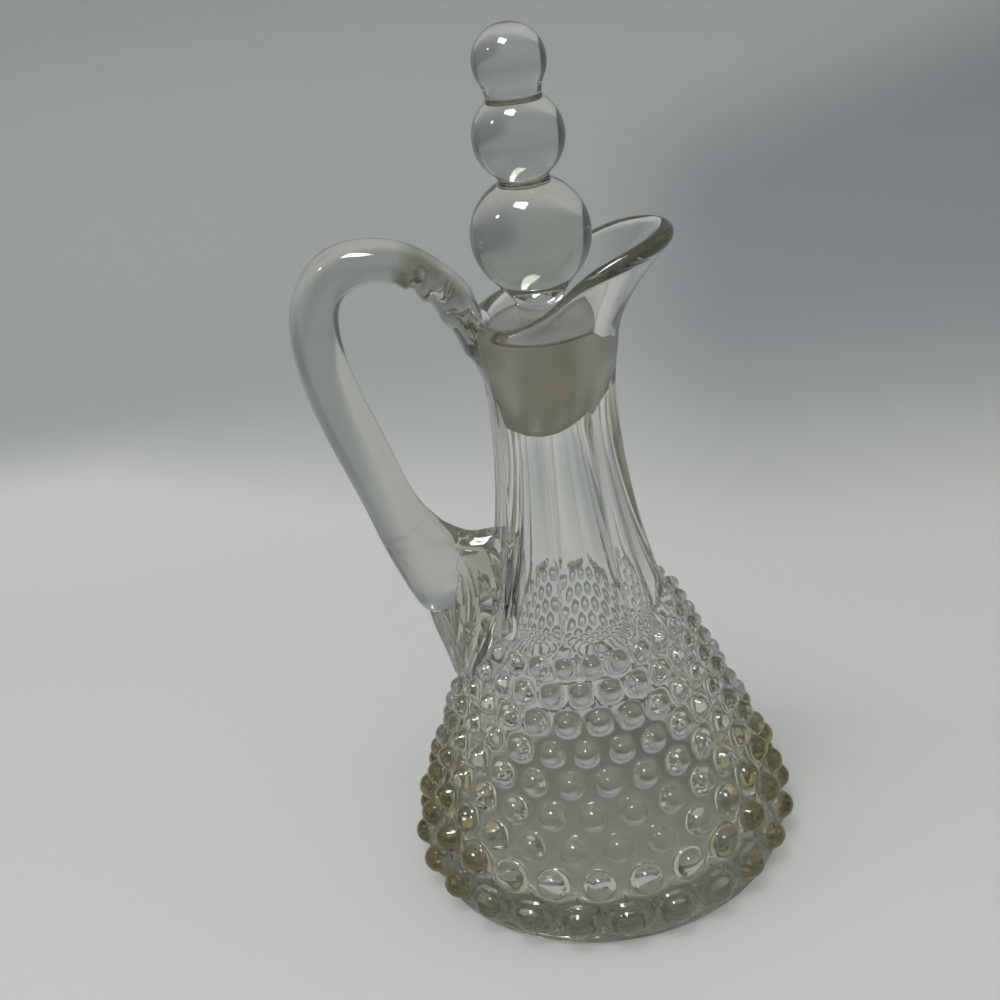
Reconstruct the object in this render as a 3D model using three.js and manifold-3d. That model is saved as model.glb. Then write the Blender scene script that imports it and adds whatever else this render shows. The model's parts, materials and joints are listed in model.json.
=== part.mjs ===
// A pressed-glass cruet with a hobnail body, an eight-panel neck, a poured lip, a looped glass
// handle, and a stopper of three graduated balls that seats in the neck through a plastic sleeve.
//
// All sizes are in millimetres. The origin is the centre of the flat base, +Z is up, the lip
// pours towards +X and the handle stands out towards -X.

import * as THREE from 'three';
import { mergeGeometries, mergeVertices } from 'three/addons/utils/BufferGeometryUtils.js';
import Module from 'manifold-3d';

const wasm = await Module();
wasm.setup();

// Driving dimensions: the shell's outside
const footRadius = 40.6;
const coneFootRadius = 38.2;
const coneFootHeight = 15.9;
const shoulderRadius = 20.8;
const shoulderHeight = 62.5;
const neckRadius = 13.7;
const neckHeight = 111;
const mouthRadius = 15;
const mouthHeight = 124;

// Driving dimensions: the glass thickness
const floorThickness = 6;
const bodyWall = 4;
const mouthWall = 4.6;
const rimThickness = 3.8;

// Driving dimensions: the lip. It stands lipBackRise over the mouth at the handle and
// lipSpoutRise more at the tip of the spout, which reaches spoutReach further out.
const lipBackRise = 6.4;
const lipSpoutRise = 13.6;
const spoutReach = 12.4;
const spoutNarrowing = 10;
const lipSweep = 2;
const lipCurl = 1.7;

// Driving dimensions: the panels round the neck, how far under the shoulder they start, and how
// hollow each one is
const panelCount = 8;
const panelDrop = 1.5;
const panelArch = 4;
const panelHollow = 0.3;
const panelFade = 9;

// Driving dimensions: the hobnails, in staggered rows that close up as the body narrows, from
// firstRowHeight over the base to lastRowDrop under the shoulder
const hobsPerRow = 24;
const hobRows = 9;
const firstRowHeight = 7.3;
const lastRowDrop = 3.1;
const rowStepRatio = 0.955;
const hobFill = 0.33;
const hobRise = 1.15;
const hobCrownWidth = 0.74;
const hobCrownRise = 0.66;

// Driving dimensions: the handle's web, which runs out in a tail over the hobnails
const webHalfWidth = 7.2;
const tailDrop = 17;

// Driving dimensions: the handle's sections, each as an outer edge's reach and height, an inner
// edge's reach and height, and a half width. The upper ones lead from the mouth's glass over the
// crown and down the limb, and their heights are over the mouth. The lower ones lead through the
// web to the tail, and their heights are over the shoulder.
const upperSections = [
  [11.5, 6, 9.5, -13, 6.6],
  [12.8, 12.2, 13.2, -4.6, 7],
  [14.4, 15.8, 17, 3.6, 6.7],
  [18.6, 20.6, 20.4, 10.5, 5.9],
  [24.8, 25.2, 25.3, 16.3, 5.3],
  [32.8, 27.3, 31.7, 18.5, 5],
  [41.4, 25.9, 37.4, 17.1, 5],
  [48.3, 18.7, 40.2, 12.8, 5],
  [50.9, 5.5, 40.5, 4, 5],
  [48.8, -9.1, 38.2, -7, 5],
];
const lowerSections = [
  [43.7, 35.5, 33.4, 40, 5],
  [38.1, 20.5, 28, 28.1, 5.1],
  [36, 13, 24.3, 22.1, 5.4],
  [35, 10, 20, 19.8, 5.9],
  [34, 6.5, 13, 19.8, 6.5],
  [31.8, -2.5, 14, 5.5, 7.2],
  [29.9, -11, 22, -8.5, 5.6],
  [28.9, -15.5, 24.4, -13, 3.7],
  [27.6, -17.2, 26, -16, 1.2],
];

// Driving dimensions: the stopper's balls from the top one down, and the waists that join them,
// each by its radius at the ball above, its radius at the ball below and its length
const ballRadii = [7.2, 9.1, 12.05];
const waistTopRadii = [6.2, 5.2];
const waistFootRadii = [5.5, 5.2];
const waistLengths = [3.69, 1.66];

// Driving dimensions: the flare under the lowest ball and the tapered peg. The peg shows for
// pegNeckLength over the sleeve and stands pegStandOut out under it.
const flareRadius = 8.5;
const flareLength = 6.06;
const flareTurn = 0.2;
const pegTopRadius = 4.5;
const pegFootRadius = 3.6;
const pegNeckLength = 3.6;
const pegStandOut = 1.2;
const pegRounding = 1.2;

// Driving dimensions: the plastic sleeve on the peg, which stands sealStand over the mouth and
// sits sealSeat deep in it, and the bore, whose taper ends boreLead under the sleeve
const sealStand = 6;
const sealSeat = 16;
const sealEdge = 0.6;
const boreTaper = 0.13;
const boreLead = 1;

// Clearances: glass to glass, the sleeve in the bore, and the peg in the sleeve
const glassGap = 0.3;
const sealGap = 0.3;
const pegGap = 0.3;

// How finely the round forms are cut: the shell has one column of corners for each half step
// between hobnails
const shellSides = 2 * hobsPerRow;
const hobSides = 8;
const neckRings = 7;
const turnedSides = 20;
const ballSteps = 7;
const flareSteps = 4;
const handleSides = 12;
const handleSteps = 36;

const columnAngle = (2 * Math.PI) / shellSides;
const panelAngle = (2 * Math.PI) / panelCount;

const glassMaterial = () => new THREE.MeshStandardMaterial({
  color: 0xc9cdc2,
  roughness: 0.04,
  metalness: 0,
  transparent: true,
  opacity: 0.55,
});

const sleeveMaterial = () => new THREE.MeshStandardMaterial({
  color: 0xb3ab94,
  roughness: 0.5,
  metalness: 0,
});

// A closed solid from geometry whose seams are doubled: shared points are merged, triangles that
// collapse at a pole are dropped, and the faces are turned to point out.
function solidOf(geometry) {
  const bare = geometry.clone();
  bare.deleteAttribute('normal');
  bare.deleteAttribute('uv');
  const merged = mergeVertices(bare, 1e-4);
  const points = merged.attributes.position;
  const corners = merged.index.array;
  const [a, b, c] = [new THREE.Vector3(), new THREE.Vector3(), new THREE.Vector3()];
  const kept = [];
  let volume = 0;
  for (let i = 0; i < corners.length; i += 3) {
    const [p, q, r] = [corners[i], corners[i + 1], corners[i + 2]];
    if (p !== q && q !== r && r !== p) {
      kept.push(p, q, r);
      a.fromBufferAttribute(points, p);
      b.fromBufferAttribute(points, q);
      c.fromBufferAttribute(points, r);
      volume += a.dot(b.cross(c));
    }
  }
  if (volume < 0) {
    kept.reverse();
  }
  return new wasm.Manifold(new wasm.Mesh({
    numProp: 3,
    vertProperties: new Float32Array(points.array),
    triVerts: new Uint32Array(kept),
  }));
}

function meshOf(solid, name, material) {
  const { vertProperties, triVerts } = solid.getMesh();
  const geometry = new THREE.BufferGeometry();
  geometry.setAttribute('position', new THREE.BufferAttribute(vertProperties, 3));
  geometry.setIndex(new THREE.BufferAttribute(triVerts, 1));
  geometry.computeVertexNormals();
  const mesh = new THREE.Mesh(geometry, material);
  mesh.name = name;
  return mesh;
}

// A profile of radius and height turned about Z
function turned(profile, sides) {
  const geometry = new THREE.LatheGeometry(profile, sides);
  geometry.rotateX(Math.PI / 2);
  return geometry;
}

// A turned skin whose section changes round the axis: each ring gives its own radius and height
// at an angle. The corners lie on the same columns as the cells of the hobnail field.
function turnedRings(rings) {
  const profile = rings.map((ring) => ring(0));
  const geometry = new THREE.LatheGeometry(profile, shellSides);
  const places = geometry.attributes.position;
  for (let i = 0; i < places.count; i += 1) {
    const column = Math.floor(i / rings.length) % shellSides;
    const angle = (column + 0.5) * columnAngle;
    const place = rings[i % rings.length](angle);
    places.setXYZ(i, place.x * Math.cos(angle), place.x * Math.sin(angle), place.y);
  }
  return geometry;
}

// The radius of a profile at a height, read along its straight steps
function radiusAt(profile, height) {
  for (let i = 1; i < profile.length; i += 1) {
    const [low, high] = [profile[i - 1], profile[i]];
    if (high.y > low.y && height <= high.y) {
      return THREE.MathUtils.mapLinear(Math.max(height, low.y), low.y, high.y, low.x, high.x);
    }
  }
  return profile[profile.length - 1].x;
}

// A curve that leaves one place along a line and reaches another along a second line, with its
// bend where the two lines cross
function bend(from, cornerRadius, cornerHeight, to, steps) {
  const corner = new THREE.Vector2(cornerRadius, cornerHeight);
  const curve = new THREE.QuadraticBezierCurve(from, corner, to);
  return curve.getPoints(steps).slice(1);
}

const coneSlope = (coneFootRadius - shoulderRadius) / (shoulderHeight - coneFootHeight);
const neckSlope = 0.8 * coneSlope;

// The shell's outside from the foot to the mouth: a rounded heel, a straight cone under the
// hobnails, a concave neck and a slight flare
function outsideProfile() {
  const steps = 24;
  const foot = new THREE.Vector2(footRadius, 0);
  const coneFoot = new THREE.Vector2(coneFootRadius, coneFootHeight);
  const heelHeight = coneFootHeight - (footRadius - coneFootRadius) / coneSlope;
  const shoulder = new THREE.Vector2(shoulderRadius, shoulderHeight);
  const neck = new THREE.Vector2(neckRadius, neckHeight);
  const bendHeight = shoulderHeight + (shoulderRadius - neckRadius) / neckSlope;
  const flareHeight = (neckHeight + mouthHeight) / 2;
  const mouth = new THREE.Vector2(mouthRadius, mouthHeight);
  return [
    foot,
    ...bend(foot, footRadius, heelHeight, coneFoot, steps),
    shoulder,
    ...bend(shoulder, neckRadius, bendHeight, neck, steps),
    ...bend(neck, neckRadius, flareHeight, mouth, steps),
  ];
}

// The shell's inside from the floor to the mouth: the body's hollow, a wall's thickness in, then
// the bore that widens evenly to the mouth, where the sleeve seats
function insideProfile() {
  const coneFoot = new THREE.Vector2(coneFootRadius - bodyWall, coneFootHeight);
  const shoulder = new THREE.Vector2(shoulderRadius - bodyWall, shoulderHeight);
  const boreTop = new THREE.Vector2(mouthRadius - mouthWall, mouthHeight);
  const boreDepth = sealSeat + boreLead;
  const boreFoot = new THREE.Vector2(boreTop.x - boreTaper * boreDepth, boreTop.y - boreDepth);
  const bendHeight = shoulderHeight + (shoulder.x - boreFoot.x) / neckSlope;
  const corner = (coneFootHeight - floorThickness) / 2;
  return [
    new THREE.Vector2(coneFoot.x - corner, floorThickness),
    new THREE.Vector2(coneFoot.x, floorThickness + corner),
    coneFoot,
    shoulder,
    ...bend(shoulder, boreFoot.x, bendHeight, boreFoot, 5),
    boreTop,
  ];
}

const outside = outsideProfile();
const inside = insideProfile();

// The tail's tip, worked from the shoulder, the sleeve's heights, worked from the mouth, and the
// stopper's, worked upward from the sleeve: the peg's foot and top, the balls' centres, listed
// from the top one down, and the top of all
const tailHeight = shoulderHeight - tailDrop;
const sealTopHeight = mouthHeight + sealStand;
const sealFootHeight = mouthHeight - sealSeat;
const pegFootHeight = sealFootHeight - pegStandOut;
const pegTopHeight = sealTopHeight + pegNeckLength;
const lowestBall = ballRadii.length - 1;
const halfChord = (radius, chordRadius) => Math.sqrt(radius ** 2 - chordRadius ** 2);
const ballHeights = [pegTopHeight + flareLength + halfChord(ballRadii[lowestBall], flareRadius)];
for (let i = lowestBall - 1; i >= 0; i -= 1) {
  const below = halfChord(ballRadii[i + 1], waistFootRadii[i]);
  const above = halfChord(ballRadii[i], waistTopRadii[i]);
  ballHeights.unshift(ballHeights[0] + below + waistLengths[i] + above);
}
const stopperTop = ballHeights[0] + ballRadii[0];

// How much of a panel's cut shows: none under its arched foot, all of it along the neck, and none
// again at the mouth
function panelShare(fromCentre, height) {
  const arch = 1 - Math.sqrt(Math.max(0, 1 - (2 * fromCentre / panelAngle) ** 2));
  const foot = shoulderHeight - panelDrop + panelArch * arch;
  const start = THREE.MathUtils.smoothstep(height, foot, foot + panelArch);
  const end = THREE.MathUtils.smoothstep(height, mouthHeight - panelFade, mouthHeight);
  return start * (1 - end);
}

// The outside's radius at an angle and a height. Between two ridges that keep the full radius,
// each panel is flat and slightly hollow.
function glassRadius(angle, height) {
  const radius = radiusAt(outside, height);
  const turn = angle / panelAngle + 0.25;
  const fromCentre = (turn - Math.floor(turn) - 0.5) * panelAngle;
  const flat = radius * Math.cos(panelAngle / 2) / Math.cos(fromCentre);
  const hollow = panelHollow * (1 - (2 * fromCentre / panelAngle) ** 2);
  return THREE.MathUtils.lerp(radius, flat - hollow, panelShare(fromCentre, height));
}

// A place in the lip: along is 0 at the mouth and 1 at the rim, over is the distance past the rim
// on the rounded edge, and depth is measured into the glass, square to the lip's outside.
function lipPlace(angle, along, over, depth) {
  const towardsSpout = (1 + Math.cos(angle)) / 2;
  const out = spoutReach * towardsSpout ** spoutNarrowing;
  const up = lipBackRise + lipSpoutRise * towardsSpout ** lipSweep;
  const lean = new THREE.Vector2(lipCurl * out * along ** (lipCurl - 1), up).normalize();
  return new THREE.Vector2(
    mouthRadius + out * along ** lipCurl + over * lean.x - depth * lean.y,
    mouthHeight + up * along + over * lean.y + depth * lean.x,
  );
}

// The lip's section as places along, over and into the glass, from its outside round the rim to
// its inside
function lipSection() {
  const edge = rimThickness / 2;
  const rim = [0, 1, 2, 3, 4].map((i) => {
    const turn = (Math.PI * i) / 4;
    return [1, edge * Math.sin(turn), edge * (1 - Math.cos(turn))];
  });
  const inner = (along) => [along, 0, THREE.MathUtils.lerp(mouthWall, rimThickness, along)];
  return [[0.4, 0, 0], [0.75, 0, 0], ...rim, inner(0.75), inner(0.4)];
}

// The height at a number of rows up the hobnail field, where half numbers are rows' centres
function fieldHeight(rows) {
  const whole = (1 - rowStepRatio ** (hobRows - 1)) / (1 - rowStepRatio);
  const climbed = (1 - rowStepRatio ** (rows - 0.5)) / (1 - rowStepRatio);
  const lastRowHeight = shoulderHeight - lastRowDrop;
  return firstRowHeight + (lastRowHeight - firstRowHeight) * climbed / whole;
}

// The rings above the hobnail field: two over the panels' feet, then evenly up to the mouth
function neckHeights() {
  const top = fieldHeight(hobRows);
  const panelTop = top + 1.2 * panelArch;
  const heights = [top + 0.5 * panelArch, panelTop];
  for (let i = 1; i <= neckRings; i += 1) {
    heights.push(THREE.MathUtils.lerp(panelTop, mouthHeight, i / neckRings));
  }
  return heights;
}

// A place on the hobnail field, lifted off the glass square to it. Across counts half steps
// between hobnails round the body, and up counts rows.
function fieldPlace(across, up, lift) {
  const angle = (across + 0.5) * columnAngle;
  const height = fieldHeight(up);
  const slope = Math.atan2(radiusAt(outside, height - 1) - radiusAt(outside, height + 1), 2);
  const radius = glassRadius(angle, height) + lift * Math.cos(slope);
  return new THREE.Vector3(
    radius * Math.cos(angle),
    radius * Math.sin(angle),
    height + lift * Math.sin(slope),
  );
}

// How far the handle's web and tail spread to each side of its middle at a height
function tailHalfWidth(height) {
  const share = (height - tailHeight) / (shoulderHeight - tailHeight);
  return webHalfWidth * Math.sqrt(THREE.MathUtils.clamp(share, 0, 1));
}

// Every cell of the hobnail field: its column and row, its hobnail's height, radius and size, and
// whether the handle's tail covers it. The rows are staggered by half a step.
function fieldCells() {
  const cells = [];
  for (let row = 0; row < hobRows; row += 1) {
    const height = fieldHeight(row + 0.5);
    const radius = radiusAt(outside, height);
    const size = hobFill * 2 * columnAngle * radius;
    for (let i = 0; i < hobsPerRow; i += 1) {
      const column = 2 * i + (row % 2);
      const angle = (column + 0.5) * columnAngle;
      const fromHandle = Math.abs(radius * Math.sin(angle));
      const covered = Math.cos(angle) < 0
        && height > tailHeight
        && fromHandle < tailHalfWidth(height) + size / 2;
      cells.push({ column, row, height, radius, size, angle, covered });
    }
  }
  return cells;
}

// One cell's skin: a flat patch of glass with a round hobnail standing in it, drawn in the plane
// of columns and rows and then wrapped on to the body. The dome is a ring and a cap.
function cellSkin({ column, row, size, covered }) {
  const rise = fieldHeight(row + 1) - fieldHeight(row);
  const across = size / (columnAngle * radiusAt(outside, fieldHeight(row + 0.5)));
  const up = size * Math.cos(Math.atan(coneSlope)) / rise;
  const patch = new THREE.Shape([
    new THREE.Vector2(column - 1, row),
    new THREE.Vector2(column, row),
    new THREE.Vector2(column + 1, row),
    new THREE.Vector2(column + 1, row + 1),
    new THREE.Vector2(column, row + 1),
    new THREE.Vector2(column - 1, row + 1),
  ]);
  const skins = [];
  if (!covered) {
    const wall = new THREE.RingGeometry(hobCrownWidth, 1, hobSides);
    const cap = new THREE.CircleGeometry(hobCrownWidth, hobSides);
    for (const dome of [wall, cap]) {
      dome.scale(across, up, 1);
      dome.translate(column, row + 0.5, 0);
    }
    const foot = [];
    for (let i = 0; i < hobSides; i += 1) {
      const corner = hobSides + 1 + i;
      foot.push(new THREE.Vector2(
        wall.attributes.position.getX(corner),
        wall.attributes.position.getY(corner),
      ));
    }
    patch.holes.push(new THREE.Path(foot));
    liftDome(wall, (i) => (i <= hobSides ? hobCrownRise : 0), size);
    liftDome(cap, (i) => (i === 0 ? 1 : hobCrownRise), size);
    skins.push(wall, cap);
  }
  skins.push(new THREE.ShapeGeometry(patch));
  for (const skin of skins) {
    const places = skin.attributes.position;
    for (let i = 0; i < places.count; i += 1) {
      const place = fieldPlace(places.getX(i), places.getY(i), places.getZ(i));
      places.setXYZ(i, place.x, place.y, place.z);
    }
  }
  return skins;
}

// Lifts each corner of a flat piece of dome to its share of the hobnail's height
function liftDome(dome, shareAt, size) {
  const places = dome.attributes.position;
  for (let i = 0; i < places.count; i += 1) {
    places.setZ(i, shareAt(i) * size * hobRise);
  }
}

const onAxis = (height) => () => new THREE.Vector2(0, height);
const onGlass = (height, clearance = 0) => (angle) => new THREE.Vector2(
  glassRadius(angle, height) + clearance,
  height,
);

// The bottle: the hobnail field's cells, joined below to the base and above to the panelled neck,
// the lip and the hollow inside
function buildBottle() {
  const base = turnedRings([onAxis(0), onGlass(0), onGlass(fieldHeight(0))]);
  const rest = turnedRings([
    onGlass(fieldHeight(hobRows)),
    ...neckHeights().map((height) => onGlass(height)),
    ...lipSection().map((place) => (angle) => lipPlace(angle, ...place)),
    ...inside.toReversed().map((place) => () => place),
    onAxis(floorThickness),
  ]);
  const cells = fieldCells().flatMap(cellSkin);
  return meshOf(solidOf(mergeGeometries([base, ...cells, rest])), 'bottle', glassMaterial());
}

// The outside of the bottle as one filled solid, grown by a clearance, to cut the handle with
function filledShell(clearance) {
  const rings = [onAxis(-clearance), onGlass(0, clearance)];
  for (let row = 0; row <= hobRows; row += 1) {
    rings.push(onGlass(fieldHeight(row), clearance));
  }
  rings.push(...neckHeights().map((height) => onGlass(height, clearance)));
  for (const [along, over, depth] of lipSection()) {
    if (depth <= rimThickness / 2) {
      const past = over > 0 ? over + clearance : 0;
      rings.push((angle) => lipPlace(angle, along, past, depth - clearance));
    }
  }
  rings.push(onAxis(mouthHeight + lipBackRise + rimThickness / 2 + clearance));
  return solidOf(turnedRings(rings));
}

// A grown hobnail as a solid of its own, its foot sunk into the glass, to cut the handle with
function grownHob({ column, row, size }, clearance) {
  const foot = fieldPlace(column, row + 0.5, -size / 2);
  const tip = fieldPlace(column, row + 0.5, size * hobRise + clearance);
  const grown = size + 1.5 * clearance;
  const dome = new THREE.SphereGeometry(grown, 2 * hobSides, hobSides);
  dome.translate(
    tip.x - grown * (tip.x - foot.x) / tip.distanceTo(foot),
    tip.y - grown * (tip.y - foot.y) / tip.distanceTo(foot),
    tip.z - grown * (tip.z - foot.z) / tip.distanceTo(foot),
  );
  return solidOf(dome);
}

// The handle: a bar whose sections run smoothly through the given ones, swelling into the web, cut
// to the outside of the bottle and clear of the way that the stopper lifts through
function buildHandle() {
  const placed = (sections, base) => sections.map(
    ([outerReach, outerRise, innerReach, innerRise, halfWidth]) => ({
      outer: new THREE.Vector3(-outerReach, halfWidth, base + outerRise),
      inner: new THREE.Vector3(-innerReach, 0, base + innerRise),
    }),
  );
  const sections = [
    ...placed(upperSections, mouthHeight),
    ...placed(lowerSections, shoulderHeight),
  ];
  const outerEdge = new THREE.CatmullRomCurve3(sections.map((section) => section.outer));
  const innerEdge = new THREE.CatmullRomCurve3(sections.map((section) => section.inner));
  const bar = new THREE.CylinderGeometry(1, 1, 1, handleSides, handleSteps);
  const places = bar.attributes.position;
  for (let i = 0; i < places.count; i += 1) {
    const along = THREE.MathUtils.clamp(0.5 - places.getY(i), 0, 1);
    const outer = outerEdge.getPoint(along);
    const inner = innerEdge.getPoint(along);
    const share = (1 + places.getX(i)) / 2;
    places.setXYZ(
      i,
      THREE.MathUtils.lerp(inner.x, outer.x, share),
      places.getZ(i) * outer.y,
      THREE.MathUtils.lerp(inner.z, outer.z, share),
    );
  }
  const wayRadius = mouthRadius - rimThickness + glassGap;
  const way = turned([
    new THREE.Vector2(0, mouthHeight),
    new THREE.Vector2(wayRadius, mouthHeight),
    new THREE.Vector2(wayRadius, stopperTop),
    new THREE.Vector2(0, stopperTop),
  ], turnedSides);
  let handle = solidOf(bar).subtract(filledShell(glassGap)).subtract(solidOf(way));
  const lowestNear = tailHeight - webHalfWidth;
  for (const cell of fieldCells()) {
    if (!cell.covered && Math.cos(cell.angle) < 0 && cell.height > lowestNear) {
      handle = handle.subtract(grownHob(cell, glassGap));
    }
  }
  return meshOf(handle, 'handle', glassMaterial());
}

// The peg's radius at a height, an even taper from the flare to its foot
function pegRadiusAt(height) {
  return THREE.MathUtils.mapLinear(
    height, pegFootHeight, pegTopHeight, pegFootRadius, pegTopRadius,
  );
}

// The stopper, turned as one piece: three balls joined by short waists, the flare and the peg
function buildStopper() {
  const profile = [new THREE.Vector2(0, stopperTop)];
  ballRadii.forEach((radius, i) => {
    const start = i === 0 ? 0 : Math.asin(waistFootRadii[i - 1] / radius);
    const end = Math.PI - Math.asin((i < lowestBall ? waistTopRadii[i] : flareRadius) / radius);
    for (let k = i === 0 ? 1 : 0; k <= ballSteps; k += 1) {
      const turn = THREE.MathUtils.lerp(start, end, k / ballSteps);
      profile.push(new THREE.Vector2(
        radius * Math.sin(turn),
        ballHeights[i] + radius * Math.cos(turn),
      ));
    }
  });
  const cornerRadius = pegRadiusAt(pegFootHeight + pegRounding);
  profile.push(
    ...bend(
      profile[profile.length - 1],
      pegTopRadius,
      pegTopHeight + flareTurn * flareLength,
      new THREE.Vector2(pegTopRadius, pegTopHeight),
      flareSteps,
    ),
    new THREE.Vector2(cornerRadius, pegFootHeight + pegRounding),
    new THREE.Vector2(cornerRadius - 0.3 * pegRounding, pegFootHeight + 0.3 * pegRounding),
    new THREE.Vector2(cornerRadius - pegRounding, pegFootHeight),
    new THREE.Vector2(0, pegFootHeight),
  );
  return meshOf(solidOf(turned(profile, turnedSides)), 'stopper', glassMaterial());
}

// The sleeve: its outside follows the bore at a clearance, and its inside follows the peg
function buildSeal() {
  const boreTop = inside[inside.length - 1];
  const outerAt = (height) => boreTop.x + boreTaper * (height - boreTop.y) - sealGap;
  const innerAt = (height) => pegRadiusAt(height) + pegGap;
  const profile = [
    new THREE.Vector2(innerAt(sealFootHeight), sealFootHeight),
    new THREE.Vector2(outerAt(sealFootHeight) - sealEdge, sealFootHeight),
    new THREE.Vector2(outerAt(sealFootHeight + sealEdge), sealFootHeight + sealEdge),
    new THREE.Vector2(outerAt(sealTopHeight - sealEdge), sealTopHeight - sealEdge),
    new THREE.Vector2(outerAt(sealTopHeight) - sealEdge, sealTopHeight),
    new THREE.Vector2(innerAt(sealTopHeight), sealTopHeight),
    new THREE.Vector2(innerAt(sealFootHeight), sealFootHeight),
  ];
  return meshOf(solidOf(turned(profile, turnedSides)), 'stopper_seal', sleeveMaterial());
}

const cruet = new THREE.Group();
cruet.add(buildBottle());
cruet.add(buildHandle());
const stopperAssembly = new THREE.Group();
stopperAssembly.add(buildStopper());
stopperAssembly.add(buildSeal());
cruet.add(stopperAssembly);

export default cruet;
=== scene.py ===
import json
import math

import bpy
import numpy as np
from mathutils import Matrix, Vector

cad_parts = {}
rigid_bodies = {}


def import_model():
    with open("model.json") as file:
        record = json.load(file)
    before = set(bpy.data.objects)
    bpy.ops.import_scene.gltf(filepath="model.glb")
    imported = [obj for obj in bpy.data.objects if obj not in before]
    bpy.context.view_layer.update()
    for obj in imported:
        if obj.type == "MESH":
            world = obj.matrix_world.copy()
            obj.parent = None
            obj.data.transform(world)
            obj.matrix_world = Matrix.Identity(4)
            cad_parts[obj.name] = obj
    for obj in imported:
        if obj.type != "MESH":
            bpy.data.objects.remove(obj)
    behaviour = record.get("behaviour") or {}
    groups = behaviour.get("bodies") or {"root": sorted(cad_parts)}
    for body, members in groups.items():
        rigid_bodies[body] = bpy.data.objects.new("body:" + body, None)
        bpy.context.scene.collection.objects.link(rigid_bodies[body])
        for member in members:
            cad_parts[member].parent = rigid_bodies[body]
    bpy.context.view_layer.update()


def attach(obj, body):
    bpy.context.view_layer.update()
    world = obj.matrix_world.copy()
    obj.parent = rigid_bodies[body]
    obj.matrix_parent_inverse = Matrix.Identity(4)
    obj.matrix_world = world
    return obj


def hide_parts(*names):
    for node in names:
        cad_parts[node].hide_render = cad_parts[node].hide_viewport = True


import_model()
scene = bpy.context.scene
mm = 0.001
tau = 2 * math.pi

# the camera stands a little over the cruet, turned to it and tipped on its own axis
viewpoint = {
    "place": (3.5, -335.7, 272.7),
    "yaw": 2.92,
    "pitch": 28.55,
    "roll": -8.37,
    "lens": 64.8,
    "sensor": 36.0,
    "clip": (0.01, 20.0),
}


# rotation = turn about Z, then tilt down from level, then roll about the lens axis
def makeCamera():
    data = bpy.data.cameras.new("camera")
    data.lens = viewpoint["lens"]
    data.sensor_width = viewpoint["sensor"]
    data.clip_start, data.clip_end = viewpoint["clip"]
    camera = bpy.data.objects.new("camera", data)
    scene.collection.objects.link(camera)
    turn = Matrix.Rotation(math.radians(viewpoint["yaw"]), 4, "Z")
    tilt = Matrix.Rotation(math.radians(90 - viewpoint["pitch"]), 4, "X")
    roll = Matrix.Rotation(math.radians(viewpoint["roll"]), 4, "Z")
    camera.matrix_world = turn @ tilt @ roll
    camera.location = [x * mm for x in viewpoint["place"]]
    scene.camera = camera


makeCamera()
print("camera placed")


# points are compared in steps of a ten-thousandth of a millimetre, this many to a metre
weldSteps = 1e7


# a mesh from vertices (n, 3), in metres, and quads; points that round to the same place are merged,
# and quads that lose a corner by that become triangles
def makePiece(name, points, faces):
    keys = np.round(points * weldSteps).astype(np.int64)
    kept, index = np.unique(keys, axis=0, return_index=True, return_inverse=True)[1:3]
    faces = index.reshape(-1)[faces]
    collapsed = (faces == np.roll(faces, 1, axis=1)).any(axis=1)
    whole = faces[~collapsed]
    thin = faces[collapsed]
    first = (thin == np.roll(thin, 1, axis=1)).argmax(axis=1)
    turned = np.take_along_axis(thin, (first[:, None] + np.arange(3)) % 4, axis=1)
    corners = np.concatenate([whole.ravel(), turned.ravel()])
    sizes = np.concatenate([np.full(len(whole), 4), np.full(len(turned), 3)])
    mesh = bpy.data.meshes.new(name)
    mesh.vertices.add(len(kept))
    mesh.vertices.foreach_set("co", points[kept].astype(np.float32).ravel())
    mesh.loops.add(len(corners))
    mesh.loops.foreach_set("vertex_index", corners.astype(np.int32))
    mesh.polygons.add(len(sizes))
    mesh.polygons.foreach_set("loop_start", (np.cumsum(sizes) - sizes).astype(np.int32))
    mesh.update(calc_edges=True)
    mesh.validate()
    mesh.polygons.foreach_set("use_smooth", np.full(len(sizes), True))
    piece = bpy.data.objects.new(name, mesh)
    scene.collection.objects.link(piece)
    return piece


# faces of a grid of rows by columns, closed round the columns, wound to point outwards when the
# columns run anticlockwise and the rows run up the outside
def ringFaces(rows, columns):
    row, column = np.meshgrid(np.arange(rows - 1), np.arange(columns), indexing="ij")
    beside = (column + 1) % columns
    quads = [row * columns + column, row * columns + beside,
             (row + 1) * columns + beside, (row + 1) * columns + column]
    return np.stack(quads, axis=-1).reshape(-1, 4)


# several grids as one set of points and faces
def joined(parts):
    offsets = np.cumsum([0] + [len(points) for points, faces in parts[:-1]])
    points = np.concatenate([part[0] for part in parts])
    faces = np.concatenate([part[1] + offset for part, offset in zip(parts, offsets)])
    return points, faces


# points of a curve that leaves start and reaches end, pulled towards corner: the quadratic
# (1-t)^2 start + 2t(1-t) corner + t^2 end
def bend(start, corner, end, count):
    t = np.linspace(0, 1, count + 1)[1:, None]
    start, corner, end = (np.array(p, float) for p in (start, corner, end))
    return (1 - t) ** 2 * start + 2 * t * (1 - t) * corner + t ** 2 * end


# 0 below low, 1 above high, and t^2 (3 - 2t) between them, where t is the share of the way
def smoothstep(x, low, high):
    t = np.clip((x - low) / (high - low), 0, 1)
    return t * t * (3 - 2 * t)


# the smaller of two values, rounded off over a width k where they cross: minus k times the
# logarithm of e^(-a/k) + e^(-b/k)
def softLeast(a, b, k):
    return -k * np.logaddexp(-a / k, -b / k)


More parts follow.
